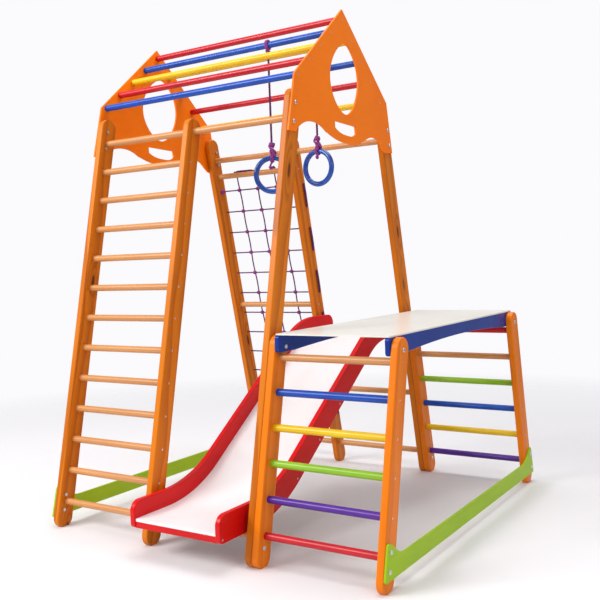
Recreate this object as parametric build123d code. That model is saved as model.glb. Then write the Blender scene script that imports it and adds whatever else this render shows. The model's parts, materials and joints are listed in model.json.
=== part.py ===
from build123d import *
import os
from math import atan2, cos, degrees, radians, sin, tan

# Indoor wooden play gym: an A-frame tower with a ladder, rope net, roof bars and gym rings, a chute
# through its front bay, and a climbing platform bolted to its side. Millimetres, +Z up.
# X runs along the gym, from the ladder to the platform. -Y is the side that the chute faces.

# ---- posts ----
post_width = 65.0
post_thickness = 23.0
post_edge_radius = 4.0
lean_angle = 12.27
foot_line_y = 592.7
foot_pad_rise = 28.9
ladder_x = 0.0
middle_x = 402.5
tower_x = 799.0
platform_inner_x = tower_x + post_thickness
platform_outer_x = 1216.5
tower_post_top = 1396.0
rear_post_top = 1384.0
middle_post_top = 1351.0
platform_leg_top = 652.0

# ---- rungs and bars ----
rung_radius = 11.0
rung_socket = 10.0
ladder_rung_count = 13
ladder_rung_pitch = 102.0
ladder_low_rung_z = 82.4
platform_rung_pitch = 99.7
platform_low_rung_z = 87.0
low_rung_z = 83.0
rear_top_bar_z = 1295.8
net_upper_rung_z = 1229.7
net_middle_rung_z = 683.0
rear_step_z = 326.0
hanger_rung_z = 565.0
front_bar_step_y = 70.5
front_bar_step_z = 57.0
rear_bar_step_y = 64.5
rear_bar_step_z = 60.2
ridge_bar_z = 1668.0

# ---- gable boards ----
gable_thickness = 6.5
apex_z = 1700.0
front_shoulder_y = 306.0
front_shoulder_z = 1441.0
rear_shoulder_y = 309.0
rear_shoulder_z = 1430.0
front_gable_foot_y = 352.0
front_gable_foot_z = 1261.0
rear_gable_foot_y = 345.0
rear_gable_foot_z = 1252.0

# ---- foot bars ----
foot_bar_thickness = 6.5
foot_bar_low_z = 33.0
foot_bar_high_z = 86.0
foot_bar_ear_z = 132.0

# ---- platform ----
panel_thickness = 4.0
panel_top_z = 657.0
panel_half_length = 490.0
side_rail_thickness = 15.0
side_rail_half_length = 494.0
side_rail_end_z = 602.0
side_rail_middle_z = 617.0

# ---- chute ----
chute_width = 340.0
chute_rail_thickness = 18.0
chute_slope = 34.4
chute_low_z = 118.0
chute_high_z = 587.0
chute_low_corner_y = -418.5
low_bend_radius = 450.0
high_bend_radius = 261.0
rail_above_bed = 52.0
rail_below_bed = 29.0
chute_front_y = -703.0
chute_rear_y = 494.0
bed_thickness = 8.0
apron_thickness = 15.0
apron_height = 20.0
rail_front_top_radius = 32.0
rail_front_low_radius = 14.0
rail_rear_top_radius = 36.0
rail_rear_low_radius = 4.0
rail_edge_radius = 3.0
bed_front_inset = 5.0
bed_rear_inset = 6.0
batten_width = 32.0
batten_thickness = 15.0
batten_stations = [130.0, 300.0, 470.0]

# ---- rope net ----
net_rope_radius = 3.0
net_row_count = 12
net_row_pitch = 87.2
net_top_row_z = 1170.0
net_plane_offset = 14.4
net_column_gap = 6.3
net_knot_radius = 8.0
net_start_knot_radius = 9.0
net_start_knot_length = 13.0
net_column_drift = 14.0
net_column_overhang = 16.0

# ---- gym rings ----
ring_radius = 58.0
ring_tube_radius = 9.0
ring_rope_radius = 4.0
rope_clearance = 0.4
front_ring_x = 560.0
front_ring_z = 1167.0
front_ring_turn = 28.0
rear_ring_x = 664.0
rear_ring_z = 1192.0
rear_ring_turn = -6.0
bar_knot_length = 20.0
bar_knot_radius = 8.5
ring_knot_length = 46.0
ring_knot_radius = 10.5
turn_spread = 3.6
front_tail_length = 20.0
rear_tail_length = 8.0
tail_knot_radius = 7.0
tail_offset = -4.0
sway_gap = 1.4

# ---- fasteners ----
bolt_radius = 3.0
bolt_head_radius = 6.5
bolt_head_height = 3.6
socket_radius = 2.2
socket_depth = 2.0
nut_radius = 5.8
nut_height = 5.0
screw_radius = 2.0
screw_head_radius = 4.0
screw_head_height = 2.6
screw_bite = 22.0

front = -1
rear = 1
lean = radians(lean_angle)
half_post = post_thickness / 2
overlap = 1.0


def post_y(row, z, outward=0.0):
    """Y of a post row's centre line at height z, moved outward across the lean."""
    return row * (foot_line_y - z * tan(lean) + outward / cos(lean))


def on_side(profile, x, thickness):
    """A profile drawn in (Y, Z), made into a board that starts at x."""
    return extrude(Plane.YZ.offset(x) * profile, amount=thickness)


def rod(x_start, x_end, y, z, radius):
    """A round bar along X."""
    return Pos((x_start + x_end) / 2, y, z) * Rot(0, 90, 0) * Cylinder(radius, x_end - x_start)


def soften(board, radius):
    """Round the outline edges of a board on its two flat sides."""
    sides = board.faces().sort_by(Axis.X)
    return fillet(sides[0].edges() + sides[-1].edges(), radius)


def post(x, row, top_z):
    """A leaning post with round ends, cut flat where it stands on the floor."""
    head_z = top_z - post_width / 2
    foot = Vector(post_y(row, foot_pad_rise), foot_pad_rise)
    head = Vector(post_y(row, head_z), head_z)
    along = head - foot
    turn = degrees(atan2(along.Y, along.X))
    middle = (foot + head) / 2
    outline = Pos(middle.X, middle.Y) * Rot(0, 0, turn) * SlotCenterToCenter(along.length, post_width)
    body = soften(on_side(outline, x - half_post, post_thickness), post_edge_radius)
    return split(body, Plane.XY, keep=Keep.TOP)


def rung(x_left, x_right, row, z, outward=0.0):
    """A round rung seated in blind sockets of two posts, given by the posts' centres."""
    reach = half_post - rung_socket
    return rod(x_left + reach, x_right - reach, post_y(row, z, outward), z, rung_radius)


def screw(face_x, inward, y, z, bite=screw_bite):
    """A countersunk wood screw driven along X, inward (+1 or -1) from the face at face_x."""
    length = post_thickness - rung_socket + bite
    head = Pos(face_x + inward * screw_head_height / 2, y, z) * Rot(0, 90 * inward, 0)
    head *= Cone(screw_head_radius, screw_radius, screw_head_height)
    tip = face_x + inward * length
    return head + rod(min(face_x, tip), max(face_x, tip), y, z, screw_radius)


def bolt(head_x, nut_x, y, z):
    """A domed socket bolt through a stack of parts, and the nut at its other side."""
    inward = 1 if nut_x > head_x else -1
    tip = nut_x + inward * nut_height
    shank = rod(min(head_x, tip), max(head_x, tip), y, z, bolt_radius)
    head_place = Pos(head_x - inward * bolt_head_height / 2, y, z) * Rot(0, -90 * inward, 0)
    dome = Cylinder(bolt_head_radius, bolt_head_height)
    dome = fillet(dome.edges().sort_by(Axis.Z)[-1], bolt_head_height * 0.7)
    socket = extrude(RegularPolygon(socket_radius, 6), amount=socket_depth)
    dome -= Pos(0, 0, bolt_head_height / 2 - socket_depth) * socket
    nut = extrude(RegularPolygon(nut_radius, 6), amount=nut_height)
    nut = Pos(nut_x, y, z) * Rot(0, 90 * inward, 0) * nut
    return head_place * dome + shank, nut - shank


# ---- roof bars: ridge, then four down each slope ----
def roof_place(side, step):
    """Y and Z of the roof bar that is a number of steps down one slope."""
    if side == front:
        return -step * front_bar_step_y, ridge_bar_z - step * front_bar_step_z
    return step * rear_bar_step_y, ridge_bar_z - step * rear_bar_step_z


def roof_bar(side, step):
    """A bar between the two gable boards."""
    y, z = roof_place(side, step)
    return rod(gable_inner_left, gable_inner_right, y, z, rung_radius)


gable_inner_left = ladder_x - half_post
gable_inner_right = tower_x + half_post
red_bars = [(front, 0), (front, 3), (rear, 3)]
blue_bars = [(front, 1), (front, 4), (rear, 2)]
yellow_bars = [(front, 2), (rear, 1), (rear, 4)]
roof_screws = []
for side, step in red_bars + blue_bars + yellow_bars:
    bar_y, bar_z = roof_place(side, step)
    roof_screws.append(screw(gable_inner_left - gable_thickness, 1, bar_y, bar_z))
    roof_screws.append(screw(gable_inner_right + gable_thickness, -1, bar_y, bar_z))


# ---- gable board: pointed roof shape with two legs, a waved lower edge, an egg and a mouth cut-out ----
def gable_outline():
    front_foot = (-front_gable_foot_y, front_gable_foot_z)
    rear_foot = (rear_gable_foot_y, rear_gable_foot_z)
    roof = [(-front_shoulder_y, front_shoulder_z), (0, apex_z), (rear_shoulder_y, rear_shoulder_z)]
    outer = Polyline(front_foot, *roof, rear_foot, (298, 1247))
    rear_arch_top = [(238, 1285), (201, 1294), (153, 1285)]
    rear_arch = Spline((298, 1247), (269, 1260), *rear_arch_top, (104, 1266), (14, 1255))
    front_wave = Spline((14, 1255), (-63, 1263), (-112, 1277))
    notch = Line((-112, 1277), (-127, 1281))
    front_arch = Spline((-127, 1281), (-174, 1300), (-227, 1302), (-288, 1281), (-311, 1261))
    closing = Line((-311, 1261), front_foot)
    return make_face([outer, rear_arch, front_wave, notch, front_arch, closing])


def gable_windows():
    lower_egg = [(-93, 1462), (-50, 1374), (7, 1351), (70, 1394), (99, 1478)]
    egg = Spline((4, 1587), (-52, 1550), *lower_egg, (68, 1556), periodic=True)
    mouth = Polyline((-70, 1300), (-72, 1322), (68, 1318), (72, 1294))
    chin = Spline((72, 1294), (54, 1284), (10, 1281), (-30, 1285), (-70, 1300))
    return make_face(egg), make_face([mouth, chin])


def gable(x):
    egg, mouth = gable_windows()
    return on_side(gable_outline() - egg - mouth, x, gable_thickness)


# ---- foot bar: low board between a front and a rear leg, with an ear at each end ----
def foot_bar(x):
    ear_y = abs(post_y(rear, foot_bar_ear_z, post_width / 2)) - 1.0
    toe_y = abs(post_y(rear, foot_bar_low_z, post_width / 2)) - 1.0
    toe = [(toe_y - 6, foot_bar_low_z), (toe_y, foot_bar_low_z + 6)]
    ear = [(ear_y, foot_bar_ear_z - 5), (ear_y - 6, foot_bar_ear_z), (ear_y - 26, foot_bar_ear_z - 8)]
    half = Polyline((0, foot_bar_low_z), *toe, *ear)
    neck_middle = (ear_y - 58, foot_bar_ear_z - 33)
    neck_low = (ear_y - 105, foot_bar_high_z)
    neck = Spline((ear_y - 26, foot_bar_ear_z - 8), neck_middle, neck_low, tangents=[(-0.8, -0.6), (-1, 0)])
    top = Line(neck_low, (0, foot_bar_high_z))
    middle = Line((0, foot_bar_high_z), (0, foot_bar_low_z))
    right = make_face([half, neck, top, middle])
    return soften(on_side(right + mirror(right, Plane.YZ), x, foot_bar_thickness), 1.5)


# ---- platform side rail: square shouldered board with an arched lower edge ----
def side_rail(x):
    high = panel_top_z - panel_thickness
    y = side_rail_half_length
    arch_y = y - 85
    edges = [Line((-arch_y, side_rail_end_z), (-y, side_rail_end_z)), Line((-y, side_rail_end_z), (-y, high)),
             Line((-y, high), (y, high)), Line((y, high), (y, side_rail_end_z)),
             Line((y, side_rail_end_z), (arch_y, side_rail_end_z)),
             ThreePointArc((arch_y, side_rail_end_z), (0, side_rail_middle_z), (-arch_y, side_rail_end_z))]
    profile = make_face(edges)
    ends = profile.vertices().filter_by(lambda v: abs(v.X) > y - 1)
    return soften(on_side(fillet(ends, 10), x, side_rail_thickness), 2.0)


# ---- chute: two parallel side lines follow the sliding surface ----
slope = radians(chute_slope)
chute_high_corner_y = chute_low_corner_y + (chute_high_z - chute_low_z) / tan(slope)
low_bend_y = chute_low_corner_y - low_bend_radius * tan(slope / 2)
low_bend_z = chute_low_z + low_bend_radius
high_bend_y = chute_high_corner_y + high_bend_radius * tan(slope / 2)
high_bend_z = chute_high_z - high_bend_radius


def chute_line(rise, y_front, y_rear):
    """A line parallel to the sliding surface, rise above it, from the front to the rear."""
    def low(angle):
        r = low_bend_radius - rise
        return (low_bend_y + r * sin(angle), low_bend_z - r * cos(angle))

    def high(angle):
        r = high_bend_radius + rise
        return (high_bend_y - r * sin(angle), high_bend_z + r * cos(angle))

    return [Line((y_front, chute_low_z + rise), low(0)), ThreePointArc(low(0), low(slope / 2), low(slope)),
            Line(low(slope), high(slope)), ThreePointArc(high(slope), high(slope / 2), high(0)),
            Line(high(0), (y_rear, chute_high_z + rise))]


def chute_strip(low_rise, high_rise, y_front, y_rear):
    """The face between two lines parallel to the sliding surface."""
    front_end = Line((y_front, chute_low_z + low_rise), (y_front, chute_low_z + high_rise))
    rear_end = Line((y_rear, chute_high_z + low_rise), (y_rear, chute_high_z + high_rise))
    low_line = chute_line(low_rise, y_front, y_rear)
    high_line = chute_line(high_rise, y_front, y_rear)
    return make_face(low_line + high_line + [front_end, rear_end])


def round_corner(profile, y_end, top, radius):
    """Round the top or the lower corner at one end of a chute strip."""
    corners = profile.vertices().filter_by(lambda v: abs(v.X - y_end) < 1).sort_by(Axis.Y)
    return fillet(corners[-1 if top else 0], radius)


def chute_rail(x):
    profile = chute_strip(-rail_below_bed, rail_above_bed, chute_front_y, chute_rear_y)
    profile = round_corner(profile, chute_front_y, True, rail_front_top_radius)
    profile = round_corner(profile, chute_front_y, False, rail_front_low_radius)
    profile = round_corner(profile, chute_rear_y, True, rail_rear_top_radius)
    profile = round_corner(profile, chute_rear_y, False, rail_rear_low_radius)
    return soften(on_side(profile, x, chute_rail_thickness), rail_edge_radius)


bay_middle_x = (middle_x + tower_x) / 2
chute_left_x = bay_middle_x - chute_width / 2
chute_right_x = bay_middle_x + chute_width / 2
bed_left_x = chute_left_x + chute_rail_thickness
bed_right_x = chute_right_x - chute_rail_thickness
bed_width = bed_right_x - bed_left_x
hanger_y = post_y(rear, hanger_rung_z)
hook_height = hanger_rung_z - (chute_high_z - rail_below_bed) + overlap
hook_slot = Pos(bay_middle_x, hanger_y, hanger_rung_z - hook_height / 2)
hook_slot *= Box(chute_width + 2, 2 * rung_radius, hook_height)


def batten(station):
    """A cross batten under the bed, a distance up the straight slope from the low corner."""
    y = chute_low_corner_y + station * cos(slope)
    z = chute_low_z + station * sin(slope)
    drop = bed_thickness + batten_thickness / 2
    place = Pos(bay_middle_x, y + drop * sin(slope), z - drop * cos(slope)) * Rot(chute_slope, 0, 0)
    return place * Box(bed_width, batten_width, batten_thickness), place


# ---- knots and gym rings ----
def coil(x, y, z, around_radius):
    """Two turns of rope laid side by side around a bar that runs along X."""
    one_turn = Rot(0, 90, 0) * Torus(around_radius, ring_rope_radius)
    return Pos(x - turn_spread, y, z) * one_turn + Pos(x + turn_spread, y, z) * one_turn


def bar_knot(x, side):
    """The rope's hitch around its roof bar, with the wrapped knot that hangs under it."""
    y, z = roof_place(side, 1)
    around = rung_radius + ring_rope_radius + rope_clearance
    barrel_top = z - around
    barrel = Pos(x, y, barrel_top - bar_knot_length / 2) * Cylinder(bar_knot_radius, bar_knot_length)
    barrel = fillet(barrel.edges(), ring_rope_radius - 1)
    return coil(x, y, z, around) + barrel, barrel_top - bar_knot_length


def ring_place(x, side, z, turn):
    return Pos(x, roof_place(side, 1)[0], z) * Rot(0, 0, turn)


def gym_ring(x, side, z, turn):
    return ring_place(x, side, z, turn) * Rot(90, 0, 0) * Torus(ring_radius, ring_tube_radius)


def ring_knot(x, side, z, turn, tail_length):
    """The hitch on a gym ring: two turns round the tube, a wrapped knot above, a tail that ends in a knot."""
    around = ring_tube_radius + ring_rope_radius + rope_clearance
    barrel_low = ring_radius + around - ring_rope_radius
    barrel = Pos(0, 0, barrel_low + ring_knot_length / 2) * Cylinder(ring_knot_radius, ring_knot_length)
    barrel = fillet(barrel.edges(), ring_rope_radius)
    tail_top = ring_radius - around
    tail = Pos(tail_offset, 0, tail_top - tail_length / 2) * Cylinder(ring_rope_radius, tail_length)
    stopper = Pos(tail_offset, 0, tail_top - tail_length) * Sphere(tail_knot_radius)
    knot = coil(0, 0, ring_radius, around) + barrel + tail + stopper
    return ring_place(x, side, z, turn) * knot, z + barrel_low + ring_knot_length


# ---- rope net behind the rear ladder bay ----
row_heights = [net_top_row_z - i * net_row_pitch for i in range(net_row_count)]
net_left_x = ladder_x + half_post
net_right_x = middle_x - half_post
column_places = [net_left_x + (net_right_x - net_left_x) * share for share in (0.25, 0.5, 0.75)]
column_top_z = net_upper_rung_z + net_column_overhang
column_low_z = low_rung_z - net_column_overhang
column_span = column_top_z - column_low_z


def column_x(place, z):
    """A net column leans a little along X on its way down."""
    return place + net_column_drift * (1 - 2 * (z - column_low_z) / column_span)


def net_column(place):
    """One hanging rope of the net."""
    outward = net_plane_offset + net_column_gap
    top = Vector(column_x(place, column_top_z), post_y(rear, column_top_z, outward), column_top_z)
    low = Vector(column_x(place, column_low_z), post_y(rear, column_low_z, outward), column_low_z)
    plane = Plane(origin=low, z_dir=top - low)
    return extrude(plane * Circle(net_rope_radius), amount=(top - low).length)


def lacing_strand(face_x, low_z, top_z):
    """The net rope going from one row to the next along a post's outer face, with rounded ends."""
    low = Vector(face_x, post_y(rear, low_z, net_plane_offset), low_z)
    top = Vector(face_x, post_y(rear, top_z, net_plane_offset), top_z)
    along = (top - low).normalized()
    strand = Plane(origin=low - along * net_rope_radius, z_dir=along) * Circle(net_rope_radius)
    strand = extrude(strand, amount=(top - low).length + 2 * net_rope_radius)
    return fillet(strand.edges(), net_rope_radius * 0.8)


rows = []
lacing = []
for index, z in enumerate(row_heights):
    start_x = net_left_x if index == 0 else ladder_x - half_post
    row_y = post_y(rear, z, net_plane_offset)
    rows.append(rod(start_x, middle_x + half_post, row_y, z, net_rope_radius))
for index in range(net_row_count - 1):
    face_x = ladder_x - half_post - net_rope_radius
    if index % 2 == 0:
        face_x = middle_x + half_post + net_rope_radius
    lacing.append(lacing_strand(face_x, row_heights[index + 1], row_heights[index]))

columns = [net_column(place) for place in column_places]
knots = []
for z in row_heights:
    for place, column in zip(column_places, columns):
        y = post_y(rear, z, net_plane_offset + net_column_gap / 2)
        ball = Pos(column_x(place, z), y, z) * Sphere(net_knot_radius)
        row_rope = rod(net_left_x, net_right_x, post_y(rear, z, net_plane_offset), z, net_rope_radius)
        knots.append(ball - row_rope - column)
start_y = post_y(rear, net_top_row_z, net_plane_offset)
start_knot_end_x = net_left_x + net_start_knot_length
start_knot = rod(net_left_x, start_knot_end_x, start_y, net_top_row_z, net_start_knot_radius)
start_knot = fillet(start_knot.edges(), net_rope_radius)
knots.append(start_knot - rows[0])

# The rope's loop lies along the upper rung between the first two columns.
loop_z = net_upper_rung_z + rung_radius + net_rope_radius
loop_y = post_y(rear, net_upper_rung_z)
loop_left = column_x(column_places[0], column_top_z)
loop_right = column_x(column_places[1], column_top_z)
lacing.append(rod(loop_left, loop_right, loop_y, loop_z, net_rope_radius))

# ---- rungs ----
ladder_heights = [ladder_low_rung_z + i * ladder_rung_pitch for i in range(ladder_rung_count)]
top_bar_z = ladder_heights[-1]
ladder = [rung(ladder_x, middle_x, front, z) for z in ladder_heights]
platform_heights = [platform_low_rung_z + i * platform_rung_pitch for i in range(6)]
front_colours = ["red", "purple", "green", "yellow", "blue", "natural"]
rear_colours = ["purple", "yellow", "blue", "green", "natural", "red"]
platform_rungs = {}
for row, colours in ((front, front_colours), (rear, rear_colours)):
    for z, colour in zip(platform_heights, colours):
        bar = rung(platform_inner_x, platform_outer_x, row, z)
        platform_rungs.setdefault(colour, []).append(bar)

low_rungs = [rung(ladder_x, middle_x, rear, low_rung_z), rung(middle_x, tower_x, rear, low_rung_z),
             rung(middle_x, tower_x, front, low_rung_z)]
rear_bays = [(ladder_x, middle_x), (middle_x, tower_x)]
rear_top_bars = [rung(left, right, rear, rear_top_bar_z) for left, right in rear_bays]
plain_rungs = {
    "front_top_bar": [rung(middle_x, tower_x, front, top_bar_z)],
    "rear_top_bars": rear_top_bars,
    "net_upper_rung": [rung(ladder_x, middle_x, rear, net_upper_rung_z)],
    "net_middle_rung": [rung(ladder_x, middle_x, rear, net_middle_rung_z)],
    "low_rungs": low_rungs,
    "rear_step_rung": [rung(middle_x, tower_x, rear, rear_step_z)],
    "chute_hanger_rung": [rung(middle_x, tower_x, rear, hanger_rung_z)],
    "ladder_rungs": ladder,
}

# ---- screws that hold the rungs: (face x, inward, row, height) ----
screw_places = []
for z in ladder_heights:
    screw_places.append((ladder_x - half_post, 1, front, z))
for z in ladder_heights[1:-1]:
    screw_places.append((middle_x + half_post, -1, front, z))
for z in platform_heights:
    for row in (front, rear):
        screw_places.append((platform_outer_x + half_post, -1, row, z))
for z in (rear_top_bar_z, net_upper_rung_z, net_middle_rung_z, low_rung_z):
    screw_places.append((ladder_x - half_post, 1, rear, z))
for z in (net_upper_rung_z, net_middle_rung_z):
    screw_places.append((middle_x + half_post, -1, rear, z))
for z in (rear_step_z, hanger_rung_z):
    screw_places.append((middle_x - half_post, 1, rear, z))
rung_screws = [screw(x, inward, post_y(row, z), z) for x, inward, row, z in screw_places]

# ---- bolts ----
bolts = {"gable_bolts": [], "platform_bolts": [], "foot_bar_bolts": []}
nuts = []


def add_bolt(group, head_x, nut_x, row, z, outward):
    new_bolt, new_nut = bolt(head_x, nut_x, post_y(row, z, outward), z)
    bolts[group].append(new_bolt)
    nuts.append(new_nut)


gable_bolt_heights = {front: (1350.0, 1291.0), rear: (1332.0, 1279.0)}
gable_bolt_outward = 9.0
foot_bar_bolt_heights = (107.0, 58.0)
foot_bar_bolt_outward = 12.0
pair_bolt_z = 55.0
rail_bolt_z = 617.0
for row in (front, rear):
    for z in gable_bolt_heights[row]:
        add_bolt("gable_bolts", ladder_x - half_post - gable_thickness, ladder_x + half_post, row, z,
                 gable_bolt_outward)
        add_bolt("gable_bolts", tower_x + half_post + gable_thickness, tower_x - half_post, row, z,
                 gable_bolt_outward)
    for z in foot_bar_bolt_heights:
        add_bolt("foot_bar_bolts", ladder_x - half_post - foot_bar_thickness, ladder_x + half_post, row, z,
                 foot_bar_bolt_outward)
        add_bolt("foot_bar_bolts", platform_outer_x + half_post + foot_bar_thickness,
                 platform_outer_x - half_post, row, z, foot_bar_bolt_outward)
    add_bolt("platform_bolts", platform_inner_x + half_post, tower_x - half_post, row, pair_bolt_z, 4.0)
    add_bolt("platform_bolts", platform_inner_x + half_post + side_rail_thickness, tower_x - half_post, row,
             rail_bolt_z, 0.0)
    outer_nut_x = platform_outer_x - half_post - side_rail_thickness
    add_bolt("platform_bolts", platform_outer_x + half_post, outer_nut_x, row, rail_bolt_z, 0.0)

# ---- chute parts ----
hanger_bar = plain_rungs["chute_hanger_rung"][0]
foot_rung = low_rungs[2]
chute_rails = [chute_rail(x) - hook_slot - hanger_bar - foot_rung
               for x in (chute_left_x, chute_right_x - chute_rail_thickness)]
bed_strip = chute_strip(-bed_thickness, 0, chute_front_y + bed_front_inset, chute_rear_y - bed_rear_inset)
bed = on_side(bed_strip, bed_left_x, bed_width)
battens = []
chute_screws = []
for station in batten_stations:
    wood, place = batten(station)
    battens.append(wood)
    middle = place.position
    chute_screws.append(screw(chute_left_x, 1, middle.Y, middle.Z))
    chute_screws.append(screw(chute_right_x, -1, middle.Y, middle.Z))
apron_z = chute_low_z - bed_thickness - apron_height / 2
apron_y = chute_front_y + bed_front_inset + apron_thickness / 2
apron = Pos(bay_middle_x, apron_y, apron_z) * Box(bed_width, apron_thickness, apron_height)
apron = fillet(apron.edges().filter_by(Axis.X), 3.0)
for x, inward in ((chute_left_x, 1), (chute_right_x, -1)):
    chute_screws.append(screw(x, inward, apron_y, apron_z))
battens = [wood - chute_screws for wood in battens]
apron -= chute_screws
chute_rails = [rail - chute_screws for rail in chute_rails]

# ---- gym rings ----
front_bar_knot, front_rope_top = bar_knot(front_ring_x, front)
rear_bar_knot, rear_rope_top = bar_knot(rear_ring_x, rear)
front_ring_knot, front_rope_end = ring_knot(front_ring_x, front, front_ring_z, front_ring_turn,
                                            front_tail_length)
rear_ring_knot, rear_rope_end = ring_knot(rear_ring_x, rear, rear_ring_z, rear_ring_turn, rear_tail_length)


def hanging_rope(x, side, top_z, end_z):
    """The straight stretch of rope between its two knots; a small gap lets it sway under the upper knot."""
    length = top_z - sway_gap - end_z
    return Pos(x, roof_place(side, 1)[0], end_z + length / 2) * Cylinder(ring_rope_radius, length)


# ---- posts, cut for their rungs, screws, bolts and net ropes ----
panel = Pos((platform_inner_x + platform_outer_x) / 2, 0, panel_top_z - panel_thickness / 2)
panel *= Box(platform_outer_x - platform_inner_x - post_thickness, 2 * panel_half_length, panel_thickness)
panel = fillet(panel.edges().filter_by(Axis.Z), 6.0)
all_rungs = [bar for group in list(plain_rungs.values()) + list(platform_rungs.values()) for bar in group]
all_bolts = [one for group in bolts.values() for one in group]
post_plan = {
    "tower_post_front_left": (ladder_x, front, tower_post_top),
    "tower_post_front_middle": (middle_x, front, middle_post_top),
    "tower_post_front_right": (tower_x, front, tower_post_top),
    "tower_post_rear_left": (ladder_x, rear, rear_post_top),
    "tower_post_rear_middle": (middle_x, rear, middle_post_top),
    "tower_post_rear_right": (tower_x, rear, rear_post_top),
    "platform_leg_front_inner": (platform_inner_x, front, platform_leg_top),
    "platform_leg_front_outer": (platform_outer_x, front, platform_leg_top),
    "platform_leg_rear_inner": (platform_inner_x, rear, platform_leg_top),
    "platform_leg_rear_outer": (platform_outer_x, rear, platform_leg_top),
}


def near(post_x, row, piece):
    """True for a piece whose box reaches the post."""
    box = piece.bounding_box()
    beside = box.min.X < post_x + half_post and box.max.X > post_x - half_post
    return beside and row * (box.min.Y + box.max.Y) > 0


nodes = {}
cutters = all_rungs + rung_screws + all_bolts + rows
for name, (x, row, top_z) in post_plan.items():
    nodes[name] = post(x, row, top_z) - [piece for piece in cutters if near(x, row, piece)]


def touches(one, other):
    """True where the boxes of two pieces meet."""
    a = one.bounding_box()
    b = other.bounding_box()
    clear = (a.min.X > b.max.X or b.min.X > a.max.X or a.min.Y > b.max.Y or b.min.Y > a.max.Y
             or a.min.Z > b.max.Z or b.min.Z > a.max.Z)
    return not clear


def drilled(pieces, fasteners):
    """The pieces with holes where the fasteners pass through them."""
    return [piece - [one for one in fasteners if touches(piece, one)] for piece in pieces]


for name, group in plain_rungs.items():
    nodes[name] = drilled(group, rung_screws)
for colour, group in platform_rungs.items():
    nodes["platform_rungs_" + colour] = drilled(group, rung_screws)
for colour, places in (("red", red_bars), ("blue", blue_bars), ("yellow", yellow_bars)):
    nodes["roof_bars_" + colour] = drilled([roof_bar(side, step) for side, step in places], roof_screws)
gable_fasteners = roof_screws + bolts["gable_bolts"]
nodes["left_gable"] = drilled([gable(ladder_x - half_post - gable_thickness)], gable_fasteners)
nodes["right_gable"] = drilled([gable(tower_x + half_post)], gable_fasteners)
left_foot_bar_x = ladder_x - half_post - foot_bar_thickness
nodes["left_foot_bar"] = drilled([foot_bar(left_foot_bar_x)], bolts["foot_bar_bolts"])
nodes["right_foot_bar"] = drilled([foot_bar(platform_outer_x + half_post)], bolts["foot_bar_bolts"])
nodes["platform_panel"] = [panel]
nodes["platform_rail_inner"] = drilled([side_rail(platform_inner_x + half_post)], bolts["platform_bolts"])
outer_rail_x = platform_outer_x - half_post - side_rail_thickness
nodes["platform_rail_outer"] = drilled([side_rail(outer_rail_x)], bolts["platform_bolts"])
nodes["chute_bed"] = [bed]
nodes["chute_left_rail"] = [chute_rails[0]]
nodes["chute_right_rail"] = [chute_rails[1]]
nodes["chute_front_apron"] = [apron]
nodes["chute_battens"] = battens
nodes["net_rows"] = rows
nodes["net_columns"] = columns
nodes["net_knots"] = knots
nodes["net_lacing"] = lacing
nodes["front_gym_ring"] = [gym_ring(front_ring_x, front, front_ring_z, front_ring_turn)]
nodes["rear_gym_ring"] = [gym_ring(rear_ring_x, rear, rear_ring_z, rear_ring_turn)]
nodes["front_bar_knot"] = [front_bar_knot]
nodes["rear_bar_knot"] = [rear_bar_knot]
nodes["front_ring_knot"] = [front_ring_knot]
nodes["rear_ring_knot"] = [rear_ring_knot]
nodes["front_ring_rope"] = [hanging_rope(front_ring_x, front, front_rope_top, front_rope_end)]
nodes["rear_ring_rope"] = [hanging_rope(rear_ring_x, rear, rear_rope_top, rear_rope_end)]
nodes.update(bolts)
nodes["nuts"] = nuts
nodes["rung_screws"] = rung_screws
nodes["roof_bar_screws"] = roof_screws
nodes["chute_screws"] = chute_screws

# ---- the origin is on the floor, under the middle of the whole gym ----
shapes = {}
for name, group in nodes.items():
    pieces = group if isinstance(group, list) else [group]
    shapes[name] = Compound(children=[Compound(piece.solids()) for piece in pieces])
whole = Compound(children=list(shapes.values())).bounding_box()
to_origin = Pos(-(whole.min.X + whole.max.X) / 2, -(whole.min.Y + whole.max.Y) / 2, 0)

os.makedirs("parts", exist_ok=True)
for name, shape in shapes.items():
    export_step(to_origin * Compound(shape.solids()), f"parts/{name}.step")
print("nodes", len(shapes))
print("origin moved by", tuple(to_origin.position))
print("size", whole.size)
print("front ring rope length", front_rope_top - sway_gap - front_rope_end)
print("rear ring rope length", rear_rope_top - sway_gap - rear_rope_end)
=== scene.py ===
import json
from math import ceil, cos, pi, radians, sin

import bmesh
import bpy
from mathutils import Matrix, Vector


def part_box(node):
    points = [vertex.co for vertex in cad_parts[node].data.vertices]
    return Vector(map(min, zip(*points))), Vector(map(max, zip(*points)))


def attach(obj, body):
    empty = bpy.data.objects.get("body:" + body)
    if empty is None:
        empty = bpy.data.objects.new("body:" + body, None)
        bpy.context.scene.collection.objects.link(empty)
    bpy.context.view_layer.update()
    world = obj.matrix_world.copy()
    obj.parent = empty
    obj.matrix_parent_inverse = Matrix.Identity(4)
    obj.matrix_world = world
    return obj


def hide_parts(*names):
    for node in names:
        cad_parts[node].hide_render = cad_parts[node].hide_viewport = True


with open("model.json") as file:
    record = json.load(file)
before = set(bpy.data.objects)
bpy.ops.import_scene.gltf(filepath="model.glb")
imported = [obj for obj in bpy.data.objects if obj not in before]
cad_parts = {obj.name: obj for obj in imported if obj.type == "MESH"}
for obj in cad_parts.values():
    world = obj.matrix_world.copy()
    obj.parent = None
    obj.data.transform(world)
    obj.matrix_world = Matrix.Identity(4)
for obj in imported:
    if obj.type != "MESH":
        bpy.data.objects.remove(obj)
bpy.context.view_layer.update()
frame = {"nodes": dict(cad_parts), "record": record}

# ---- sizes, in metres ----
post_lean = radians(12.27)
ring_radius = 0.058
ring_tube_radius = 0.009
ring_rope_radius = 0.004
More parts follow.
